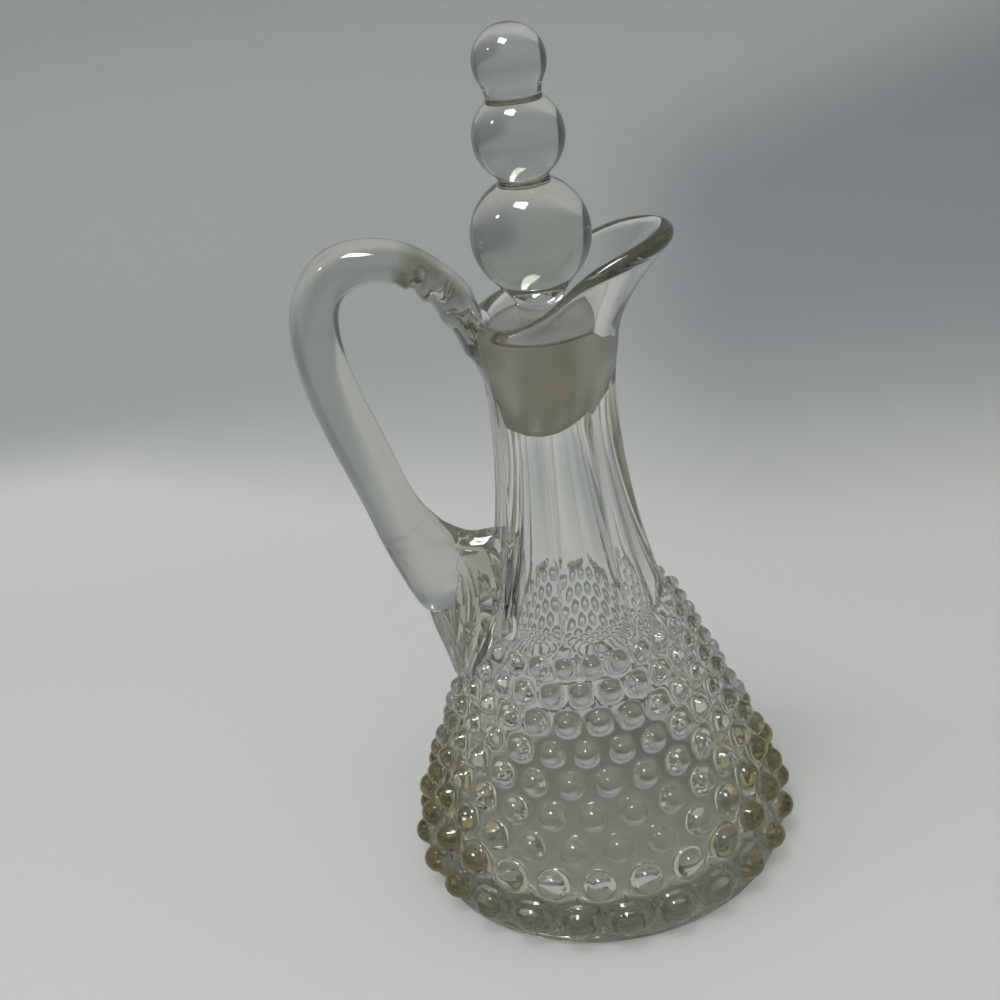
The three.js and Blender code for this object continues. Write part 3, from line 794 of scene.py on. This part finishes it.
# cast waviness for pressed glass, on the object's own coordinates: the height is a broad swell
# plus a share of a fine grain
def makeCastWaves():
    tree = bpy.data.node_groups.new("castWaves", "ShaderNodeTree")
    for name in ("Swell Scale", "Grain Scale", "Grain"):
        tree.interface.new_socket(name, in_out="INPUT", socket_type="NodeSocketFloat")
    tree.interface.new_socket("Height", in_out="OUTPUT", socket_type="NodeSocketFloat")
    come, leave = tree.nodes.new("NodeGroupInput"), tree.nodes.new("NodeGroupOutput")
    coords = tree.nodes.new("ShaderNodeTexCoord")
    heights = {}
    for name, detail in waveDetail.items():
        noise = tree.nodes.new("ShaderNodeTexNoise")
        noise.inputs["Detail"].default_value = detail
        tree.links.new(coords.outputs["Object"], noise.inputs["Vector"])
        tree.links.new(come.outputs[name + " Scale"], noise.inputs["Scale"])
        heights[name] = noise.outputs["Fac"]
    grain = addProduct(tree, heights["Grain"], come.outputs["Grain"])
    tree.links.new(addMath(tree, "ADD", heights["Swell"], grain), leave.inputs["Height"])
    return tree


castWaves = makeCastWaves()


# the cast waves as a bump on a glass
def addWaves(tree, shader, look):
    waves, bump = tree.nodes.new("ShaderNodeGroup"), tree.nodes.new("ShaderNodeBump")
    waves.node_tree = castWaves
    waves.inputs["Swell Scale"].default_value = look["waveScale"]
    waves.inputs["Grain Scale"].default_value = look["grainScale"]
    waves.inputs["Grain"].default_value = look["grain"]
    bump.inputs["Strength"].default_value = look["wave"]
    bump.inputs["Distance"].default_value = mm
    tree.links.new(waves.outputs["Height"], bump.inputs["Height"])
    tree.links.new(bump.outputs["Normal"], shader.inputs["Normal"])


# the glass of the body, whose tinting and painted shade are laid on in this order, each by its own
# mask
glassLook = {
    "colour": (0.97, 0.975, 0.965, 1), "ior": 1.5, "roughness": 0.0,
    "absorb": (0.68, 0.685, 0.62, 1), "density": 33.0, "shade": (0.91, 0.91, 0.90, 1),
    "waveScale": 95.0, "wave": 0.035, "grainScale": 900.0, "grain": 0.02,
    # edge is painted shade, laid on over the share rim of the Layer Weight's facing, where the glass
    # turns away from the eye
    "edge": (0.12, 0.115, 0.10, 1), "rim": (0.66, 0.93),
    "tintsAndShades": {
        # the handle's limb tint is a colour of the glass; the olive patch at the handle's join and
        # the grey of the web are painted shade, and the amber is painted colour of light through the
        # glass
        "Limb": (0.77, 0.78, 0.755, 1), "CrimpShade": (0.26, 0.25, 0.17, 1),
        "WebShade": (0.62, 0.615, 0.57, 1), "Amber": (0.45, 0.35, 0.11, 1),
    },
}
stopperLook = dict(glassLook, density=46.0)
# where the amber is painted, as the colour that light takes on through the glass there, in metres: on
# the domes that stand out from the cone, low down, at the body's sides, and all round the lowest row
amberReach = {
    "cone": (0.010, 0.0625, 0.0402, 0.0208), "dome": (0.0005, 0.0016), "low": (0.021, 0.034),
    "side": (0.020, 0.034), "row": (0.0095, 0.0135), "rowShare": 0.12,
}
# where the handle's own tint begins: behind the axis, and over the web's tail
limbReach = {"away": (0.013, 0.017), "high": (0.064, 0.070)}
# where the olive patch of painted shade lies, under the handle where it joins the mouth: between two
# distances behind the axis, over a height, and under a line that climbs with the distance
crimpShadeReach = {
    "from": (0.0165, 0.0195), "to": (0.0255, 0.029), "over": (0.118, 0.124), "slope": 1.5,
    "under": (0.1045, 0.1085),
}
# where the web's painted shade lies: outside the cone and neck, below the hole, and outside a circle
# round the end of the bar
webShadeReach = {
    "glass": (0.0402, 0.075, 0.0304, 0.0165), "clear": (0.0, 0.0015), "hole": (0.0825, 0.0845),
    "end": (0.031, 0.075), "round": (0.0082, 0.0092),
}


# the painted amber, dome x low x the greater of side and row: dome grows with the distance from the
# cone, low and row fall with the height, and side grows with |x|
def addAmberMask(tree, x, y, z):
    out = addMath(tree, "SUBTRACT", addDistance(tree, x, y), addSpan(tree, z, *amberReach["cone"]))
    side = addRamp(tree, addMath(tree, "ABSOLUTE", x), *amberReach["side"])
    row = addProduct(tree, addFall(tree, z, *amberReach["row"]), amberReach["rowShare"])
    return addProduct(tree, addRamp(tree, out, *amberReach["dome"]),
                      addFall(tree, z, *amberReach["low"]), addMath(tree, "MAXIMUM", side, row))


# away x high, which grow with the distance behind the axis and with the height
def addLimbMask(tree, away, z):
    return addProduct(tree, addRamp(tree, away, *limbReach["away"]),
                      addRamp(tree, z, *limbReach["high"]))


# the olive patch of painted shade, (from - to) x under x over: from and to grow with the distance
# behind the axis, under falls with the height less slope times that distance, and over grows with the
# height
def addCrimpShadeMask(tree, away, z):
    ends = addMath(tree, "SUBTRACT", addRamp(tree, away, *crimpShadeReach["from"]),
                   addRamp(tree, away, *crimpShadeReach["to"]))
    line = addMath(tree, "SUBTRACT", z, addProduct(tree, away, crimpShadeReach["slope"]))
    return addProduct(tree, ends, addFall(tree, line, *crimpShadeReach["under"]),
                      addRamp(tree, z, *crimpShadeReach["over"]))


# the web's painted shade, round x hole x clear: round grows with the distance from the bar's end,
# hole falls with the height, and clear grows with the distance behind the glass of cone and neck
def addWebShadeMask(tree, away, z):
    endAway, endHeight = webShadeReach["end"]
    distance = addDistance(tree, addMath(tree, "SUBTRACT", away, endAway),
                           addMath(tree, "SUBTRACT", z, endHeight))
    behind = addMath(tree, "SUBTRACT", away, addSpan(tree, z, *webShadeReach["glass"]))
    return addProduct(tree, addRamp(tree, distance, *webShadeReach["round"]),
                      addFall(tree, z, *webShadeReach["hole"]), addRamp(tree, behind, *webShadeReach["clear"]))


# the masks of the glass's tinting and painted shade as one group, in which away is the distance -x
# behind the axis
def makeGlassMasks():
    tree = bpy.data.node_groups.new("glassMasks", "ShaderNodeTree")
    for name in glassLook["tintsAndShades"]:
        tree.interface.new_socket(name, in_out="OUTPUT", socket_type="NodeSocketFloat")
    leave = tree.nodes.new("NodeGroupOutput")
    x, y, z = addAxes(tree)
    away = addProduct(tree, x, -1.0)
    masks = {
        # masks of the limb's tint, of painted shade at the handle's join and on the web, and of
        # painted amber
        "Limb": addLimbMask(tree, away, z), "CrimpShade": addCrimpShadeMask(tree, away, z),
        "WebShade": addWebShadeMask(tree, away, z), "Amber": addAmberMask(tree, x, y, z),
    }
    for name, mask in masks.items():
        tree.links.new(mask, leave.inputs[name])
    return tree


# glass that tints what passes through its bulk, and lets the lamps' light through to what stands in
# it or behind it; where there are masks its surface is coloured by place, with painted shade at the
# handle's join and on its web and painted amber low at the sides, and all of it is darkened by
# painted shade where it turns away from the eye
def makeGlass(name, look, masks=None):
    material, shader, output = newMaterial(name)
    tree = material.node_tree
    shader.inputs["Roughness"].default_value = look["roughness"]
    shader.inputs["IOR"].default_value = look["ior"]
    shader.inputs["Transmission Weight"].default_value = 1.0
    addWaves(tree, shader, look)
    colour = look["colour"]
    if masks:
        place = tree.nodes.new("ShaderNodeGroup")
        place.node_tree = masks
        for tintOrShade, value in look["tintsAndShades"].items():
            colour = addMix(tree, place.outputs[tintOrShade], colour, value)
    # painted shade: the colour goes to edge where the surface turns away from the eye
    facing = tree.nodes.new("ShaderNodeLayerWeight").outputs["Facing"]
    colour = addMix(tree, addRamp(tree, facing, *look["rim"]), colour, look["edge"])
    tree.links.new(colour, shader.inputs["Base Color"])
    light = tree.nodes.new("ShaderNodeLightPath")
    addClear(tree, light.outputs["Is Shadow Ray"], shader, output, look["shade"])
    absorb = tree.nodes.new("ShaderNodeVolumeAbsorption")
    absorb.inputs["Color"].default_value = look["absorb"]
    absorb.inputs["Density"].default_value = look["density"]
    tree.links.new(absorb.outputs[0], output.inputs["Volume"])
    return material


# the sleeve's plastic, with the reaches of its top and of that top's rim in metres
sleeveLook = {
    "pale": (1.0, 0.98, 0.87, 1), "brown": (0.99, 0.94, 0.77, 1), "scale": 230.0, "streak": 0.45,
    "patch": (0.38, 0.60), "top": (0.66, 0.69, 0.70, 1), "topHeight": (0.1292, 0.1295),
    "rimTint": (0.22, 0.17, 0.10, 1), "rim": (0.0107, 0.0110), "roughness": 0.5,
    "transmission": 0.85,
}


# milky plastic: pale and brown by a noise drawn out upwards, greyer on its top, and there brown at
# the rim, where the distance from the axis is great
def makeSleevePlastic():
    material, shader = newMaterial("milky_plastic")[:2]
    tree = material.node_tree
    coords, noise = tree.nodes.new("ShaderNodeTexCoord"), tree.nodes.new("ShaderNodeTexNoise")
    stretch = tree.nodes.new("ShaderNodeMapping")
    noise.inputs["Scale"].default_value = sleeveLook["scale"]
    stretch.inputs["Scale"].default_value = (1, 1, sleeveLook["streak"])
    tree.links.new(coords.outputs["Object"], stretch.inputs["Vector"])
    tree.links.new(stretch.outputs["Vector"], noise.inputs["Vector"])
    x, y, z = addAxes(tree)
    patch = addRamp(tree, noise.outputs["Fac"], *sleeveLook["patch"])
    side = addMix(tree, patch, sleeveLook["pale"], sleeveLook["brown"])
    rim = addRamp(tree, addDistance(tree, x, y), *sleeveLook["rim"])
    top = addMix(tree, rim, sleeveLook["top"], sleeveLook["rimTint"])
    colour = addMix(tree, addRamp(tree, z, *sleeveLook["topHeight"]), side, top)
    tree.links.new(colour, shader.inputs["Base Color"])
    shader.inputs["Roughness"].default_value = sleeveLook["roughness"]
    shader.inputs["Transmission Weight"].default_value = sleeveLook["transmission"]
    return material


glassBody = makeGlassBody()
glassBody.data.materials.clear()
glassBody.data.materials.append(makeGlass("pressed_glass", glassLook, makeGlassMasks()))
print("glass body:", len(glassBody.data.polygons), "faces")
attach(glassBody, "bottle")
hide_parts("bottle", "handle")

stopperPiece = makeStopper()
stopperPiece.data.materials.append(makeGlass("stopper_glass", stopperLook))
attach(stopperPiece, "stopper")
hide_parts("stopper")
print("stopper:", len(stopperPiece.data.polygons), "faces")

sleevePiece = makeSleeve()
sleevePiece.data.materials.append(makeSleevePlastic())
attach(sleevePiece, "sleeve")
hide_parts("stopper_seal")
print("sleeve:", len(sleevePiece.data.polygons), "faces")

stage = {
    "halfWidth": 900.0, "front": -700.0, "sweepStart": 120.0, "sweepRadius": 150.0, "top": 900.0,
    "drop": -0.1, "sweepSteps": 24,
}
# the cloth, in metres: pale in front, turning grey-blue between two depths that part towards +X,
# a little lighter up the back, darker in a broad soft patch at the right, and out of view dark at
# the right and in front, and darkest at the left
cloth = {
    "pale": (0.51, 0.515, 0.49, 1), "grey": (0.30, 0.325, 0.315, 1),
    "high": (0.40, 0.43, 0.42, 1), "dark": (0.22, 0.24, 0.245, 1), "roughness": 0.85,
    "across": (-0.15, 0.06), "near": (0.181, 0.105), "far": (0.208, 0.225),
    "rise": (0.04, 0.14), "patch": (0.01, 0.065), "patchTop": (0.046, 0.090), "patchSlope": 0.227,
    "left": (-0.29, -0.24), "right": (0.27, 0.32), "front": (-0.36, -0.30),
    "shade": (0.07, 0.075, 0.075, 1),
}


# the sweep: a level floor, a quarter circle, and an upright back, as one strip
def makeStage():
    turn = np.linspace(0, math.pi / 2, stage["sweepSteps"])
    radius = stage["sweepRadius"]
    curve = np.stack([stage["sweepStart"] + radius * np.sin(turn),
                      radius * (1 - np.cos(turn))], axis=1)
    line = np.concatenate([[(stage["front"], 0)], curve,
                           [(stage["sweepStart"] + radius, stage["top"])]])
    across = np.array([-stage["halfWidth"], stage["halfWidth"]])
    points = np.stack([np.repeat(across[None], len(line), axis=0),
                       np.repeat(line[:, :1], 2, axis=1),
                       np.repeat(line[:, 1:], 2, axis=1) + stage["drop"]], axis=-1)
    row = np.arange(len(line) - 1) * 2
    faces = np.stack([row, row + 1, row + 3, row + 2], axis=1)
    sweep = makePiece("floor_sweep", points.reshape(-1, 3) * mm, faces)
    sweep.data.materials.append(makeCloth())


# the cloth's colour: grey to high by the height, then to dark by patch x patchTop, which grows with
# x and falls with z - patchSlope x, then from pale by the depth, between near and far, which both
# run from left to right; then to dark at the far right and in front, and to shade at the far left;
# its back is clear to the camera
def makeCloth():
    material, shader, output = newMaterial("pale_cloth")
    tree = material.node_tree
    x, y, z = addAxes(tree)
    back = addMix(tree, addSpan(tree, z, *cloth["rise"]), cloth["grey"], cloth["high"])
    level = addMath(tree, "SUBTRACT", z, addProduct(tree, x, cloth["patchSlope"]))
    patch = addProduct(tree, addRamp(tree, x, *cloth["patch"]),
                       addFall(tree, level, *cloth["patchTop"]))
    back = addMix(tree, patch, back, cloth["dark"])
    near, far = (addSpan(tree, x, *cloth["across"], *cloth[name]) for name in ("near", "far"))
    colour = addMix(tree, addRamp(tree, y, near, far), cloth["pale"], back)
    aside = addMath(tree, "MAXIMUM", addRamp(tree, x, *cloth["right"]),
                    addFall(tree, y, *cloth["front"]))
    colour = addMix(tree, aside, colour, cloth["dark"])
    colour = addMix(tree, addFall(tree, x, *cloth["left"]), colour, cloth["shade"])
    tree.links.new(colour, shader.inputs["Base Color"])
    shader.inputs["Roughness"].default_value = cloth["roughness"]
    light, geometry = tree.nodes.new("ShaderNodeLightPath"), tree.nodes.new("ShaderNodeNewGeometry")
    unseen = addProduct(tree, light.outputs["Is Camera Ray"], geometry.outputs["Backfacing"])
    addClear(tree, unseen, shader, output)
    return material


lamps = {
    "overhead": {"place": (-0.17, -0.20, 1.10), "size": (0.37, 0.27), "power": 7.5},
    "leftDot": {"place": (-0.80, -0.10, 0.76), "size": (0.09, 0.09), "power": 0.6},
}
# the place that both lamps face, in metres: on the axis, a little under the cruet's middle
lampAim = (0, 0, 0.08)


# an area lamp that faces lampAim
def makeLamp(name, values):
    data = bpy.data.lights.new(name, "AREA")
    data.shape = "RECTANGLE"
    data.size, data.size_y = values["size"]
    data.energy = values["power"]
    lamp = bpy.data.objects.new(name, data)
    scene.collection.objects.link(lamp)
    lamp.location = values["place"]
    aim = Vector(lampAim) - lamp.location
    lamp.rotation_euler = aim.to_track_quat("-Z", "Y").to_euler()


room = {
    "low": (0.20, 0.212, 0.21, 1), "high": (0.58, 0.60, 0.61, 1), "rise": (0.12, 0.75),
    "strength": 1.0,
}


# the room: bright overhead and dark low down, mixed by the smoothed height of the direction
def makeWorld():
    world = bpy.data.worlds.new("room")
    world.use_nodes = True
    scene.world = world
    tree = world.node_tree
    background = tree.nodes["Background"]
    upward = addAxes(tree, "Generated")[2]
    colour = addMix(tree, addRamp(tree, upward, *room["rise"]), room["low"], room["high"])
    tree.links.new(colour, background.inputs["Color"])
    background.inputs["Strength"].default_value = room["strength"]


makeStage()
for lampName, lampValues in lamps.items():
    makeLamp(lampName, lampValues)
makeWorld()
scene.view_settings.view_transform = "Standard"
scene.cycles.max_bounces = 40
scene.cycles.transmission_bounces = 32
scene.cycles.glossy_bounces = 32
scene.cycles.caustics_refractive = False
scene.cycles.caustics_reflective = False
scene.cycles.use_denoising = True
print("stage and light set")
